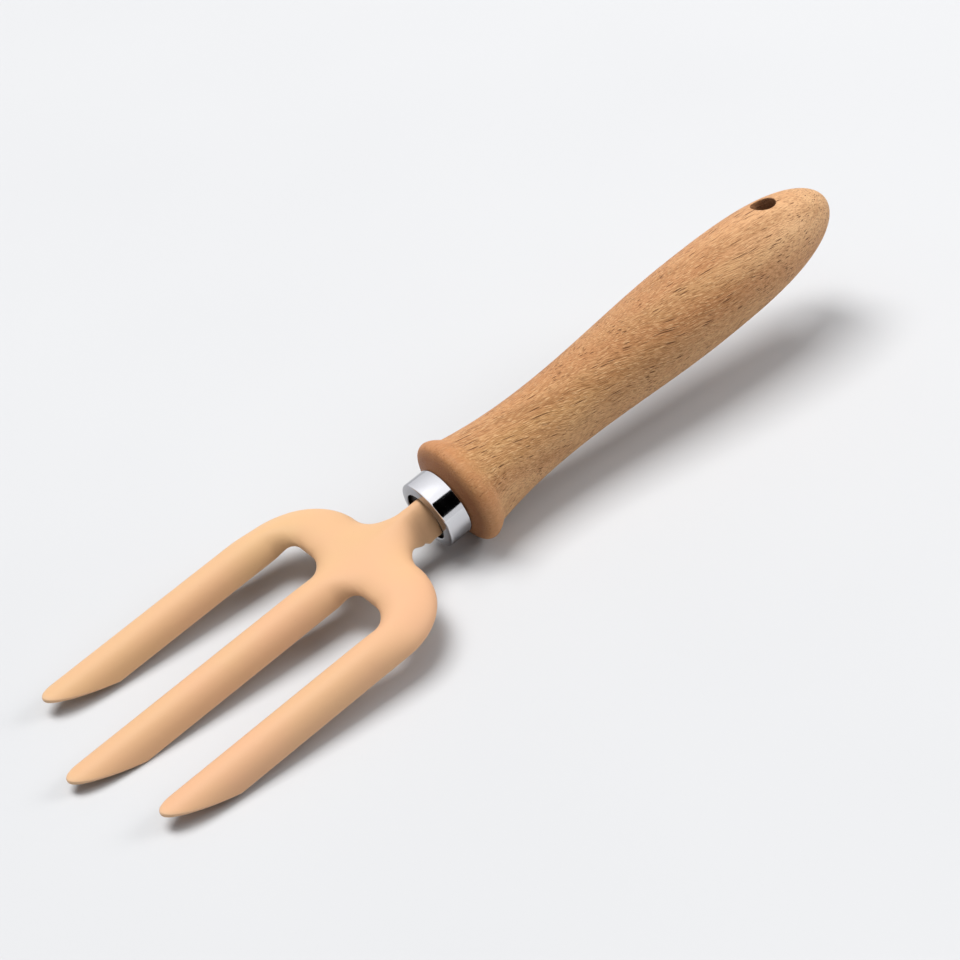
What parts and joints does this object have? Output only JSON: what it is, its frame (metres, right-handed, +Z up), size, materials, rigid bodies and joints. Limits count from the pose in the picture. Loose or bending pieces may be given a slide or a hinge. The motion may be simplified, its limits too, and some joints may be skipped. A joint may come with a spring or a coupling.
{
  "type": "hand fork",
  "caption": "Small garden hand fork with pressed channel tines, a ferrule and a turned wooden handle with a hanging hole.",
  "frame": {"origin": "on the surface the fork lies on, under the middle of its outline", "axes": "+X along the length from the tine points to the handle's end, +Y across, +Z up from the surface"},
  "size_m": [0.268, 0.071, 0.0445],
  "materials": {
    "powder_coat": "smooth satin pale peach powder coat on pressed sheet steel",
    "bare_steel": "plain drawn steel rod",
    "chrome_plate": "bright polished plating",
    "beech": "fine sanded beech with a thin matt seal"
  },
  "bodies": {
    "root": {"fork_head": "powder_coat", "tang": "bare_steel", "ferrule": "chrome_plate", "handle": "beech"}
  },
  "joints": []
}
